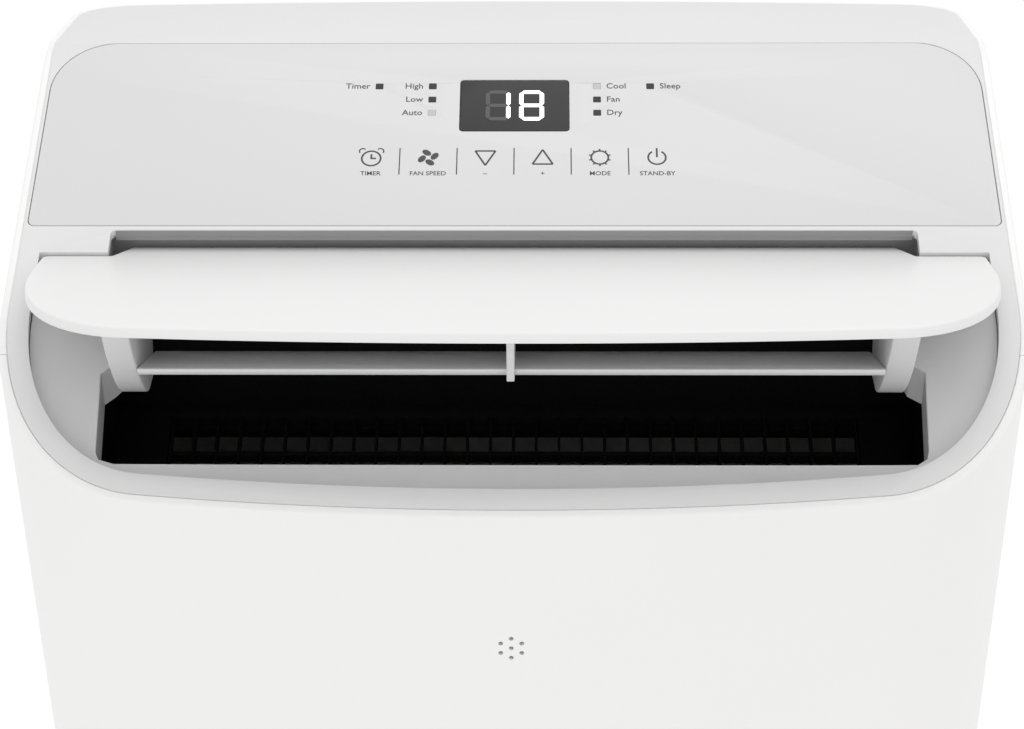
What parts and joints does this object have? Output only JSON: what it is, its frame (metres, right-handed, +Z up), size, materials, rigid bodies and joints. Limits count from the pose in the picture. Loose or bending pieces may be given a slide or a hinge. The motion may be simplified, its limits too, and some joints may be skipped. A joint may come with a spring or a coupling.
{
  "type": "portable air conditioner",
  "caption": "Free-standing room air conditioner on casters with a sloping control panel, a motorised top louvre flap and a rear exhaust collar.",
  "frame": {"origin": "on the floor, under the middle of the casing", "axes": "+Z up, the tallest way; -Y towards the front with the air outlet; +X to the right of someone facing the front"},
  "size_m": [0.433, 0.326, 0.714],
  "materials": {
    "casing_white": "fine satin moulded ABS",
    "bezel_grey": "fine satin moulded ABS",
    "panel_grey": "smooth satin overlay",
    "flap_white": "satin moulded ABS",
    "bowl_grey": "satin moulded ABS",
    "smoked_window": "smoked acrylic",
    "outlet_black": "black ABS",
    "dark_plastic": "dark moulded plastic",
    "inner_white": "natural moulded plastic",
    "board_green": "solder-masked board",
    "steel": "zinc-plated",
    "fin_aluminium": "mill finish",
    "copper": "bright copper tube",
    "compressor_paint": "semi-gloss black paint",
    "black_rubber": "moulded rubber"
  },
  "bodies": {
    "cabinet": {"front_casing": "casing_white", "rear_casing": "casing_white", "lower_intake_grille": "casing_white", "side_handle_left": "casing_white", "side_handle_right": "casing_white", "top_cover": "bezel_grey", "control_panel": "panel_grey", "display_window": "smoked_window", "indicator_lens_left": "inner_white", "indicator_lens_right": "inner_white", "display_module": "dark_plastic", "control_board": "board_green", "outlet_bowl": "bowl_grey", "outlet_duct": "outlet_black", "outlet_guard": "outlet_black", "louvre_motor": "steel", "ir_receiver": "dark_plastic", "base_pan": "dark_plastic", "condenser_coil": "fin_aluminium", "evaporator_coil": "fin_aluminium", "drip_tray": "inner_white", "evaporator_scroll": "dark_plastic", "evaporator_fan_motor": "steel", "condenser_scroll": "inner_white", "condenser_fan_motor": "steel", "exhaust_collar": "dark_plastic", "compressor": "compressor_paint", "compressor_grommet_1": "black_rubber", "compressor_grommet_2": "black_rubber", "compressor_grommet_3": "black_rubber", "suction_pipe": "copper", "discharge_pipe": "copper", "capillary_tube": "copper", "electrical_box": "inner_white", "run_capacitor": "fin_aluminium", "splash_motor": "steel", "float_switch": "inner_white", "cord_gland": "black_rubber"},
    "louvre": {"louvre_flap": "flap_white", "louvre_arm_left": "flap_white", "louvre_arm_right": "flap_white", "louvre_blade": "bowl_grey", "louvre_pin_left": "steel", "louvre_pin_right": "steel"},
    "evaporator_fan": {"evaporator_blower_wheel": "dark_plastic"},
    "condenser_fan": {"condenser_blower_wheel": "dark_plastic"},
    "splash_disc": {"splash_wheel": "inner_white"},
    "filter_cover": {"upper_intake_grille": "casing_white", "air_filter": "dark_plastic"},
    "upper_cap": {"drain_cap_upper": "black_rubber"},
    "lower_cap": {"drain_cap_lower": "black_rubber"},
    "fork_front_left": {"caster_fork_front_left": "steel"},
    "fork_front_right": {"caster_fork_front_right": "steel"},
    "fork_rear_left": {"caster_fork_rear_left": "steel"},
    "fork_rear_right": {"caster_fork_rear_right": "steel"},
    "wheel_front_left": {"caster_wheel_front_left": "black_rubber"},
    "wheel_front_right": {"caster_wheel_front_right": "black_rubber"},
    "wheel_rear_left": {"caster_wheel_rear_left": "black_rubber"},
    "wheel_rear_right": {"caster_wheel_rear_right": "black_rubber"}
  },
  "joints": [
    {"name": "louvre_swing", "type": "hinge", "parent": "cabinet", "child": "louvre", "pos_m": [0, -0.04153, 0.65735], "axis": [1, 0, 0], "range_deg": [0, 37]},
    {"name": "evaporator_fan_spin", "type": "hinge", "parent": "cabinet", "child": "evaporator_fan", "pos_m": [0, -0.085, 0.462], "axis": [0, 1, 0], "continuous": true},
    {"name": "condenser_fan_spin", "type": "hinge", "parent": "cabinet", "child": "condenser_fan", "pos_m": [0.066, 0.045, 0.205], "axis": [0, 1, 0], "continuous": true},
    {"name": "splash_wheel_spin", "type": "hinge", "parent": "cabinet", "child": "splash_disc", "pos_m": [-0.096, 0.0875, 0.078], "axis": [0, 1, 0], "continuous": true},
    {"name": "filter_cover_pull", "type": "slide", "parent": "cabinet", "child": "filter_cover", "axis": [0, 1, 0], "range_m": [0, 0.06]},
    {"name": "upper_cap_pull", "type": "slide", "parent": "cabinet", "child": "upper_cap", "axis": [0, 1, 0], "range_m": [0, 0.03]},
    {"name": "lower_cap_pull", "type": "slide", "parent": "cabinet", "child": "lower_cap", "axis": [0, 1, 0], "range_m": [0, 0.03]},
    {"name": "swivel_front_left", "type": "hinge", "parent": "cabinet", "child": "fork_front_left", "pos_m": [-0.158, -0.104, 0.04], "axis": [0, 0, 1], "continuous": true},
    {"name": "swivel_front_right", "type": "hinge", "parent": "cabinet", "child": "fork_front_right", "pos_m": [0.158, -0.104, 0.04], "axis": [0, 0, 1], "continuous": true},
    {"name": "swivel_rear_left", "type": "hinge", "parent": "cabinet", "child": "fork_rear_left", "pos_m": [-0.158, 0.112, 0.04], "axis": [0, 0, 1], "continuous": true},
    {"name": "swivel_rear_right", "type": "hinge", "parent": "cabinet", "child": "fork_rear_right", "pos_m": [0.158, 0.112, 0.04], "axis": [0, 0, 1], "continuous": true},
    {"name": "roll_front_left", "type": "hinge", "parent": "fork_front_left", "child": "wheel_front_left", "pos_m": [-0.158, -0.091, 0.019], "axis": [1, 0, 0], "continuous": true},
    {"name": "roll_front_right", "type": "hinge", "parent": "fork_front_right", "child": "wheel_front_right", "pos_m": [0.158, -0.091, 0.019], "axis": [1, 0, 0], "continuous": true},
    {"name": "roll_rear_left", "type": "hinge", "parent": "fork_rear_left", "child": "wheel_rear_left", "pos_m": [-0.158, 0.125, 0.019], "axis": [1, 0, 0], "continuous": true},
    {"name": "roll_rear_right", "type": "hinge", "parent": "fork_rear_right", "child": "wheel_rear_right", "pos_m": [0.158, 0.125, 0.019], "axis": [1, 0, 0], "continuous": true}
  ]
}
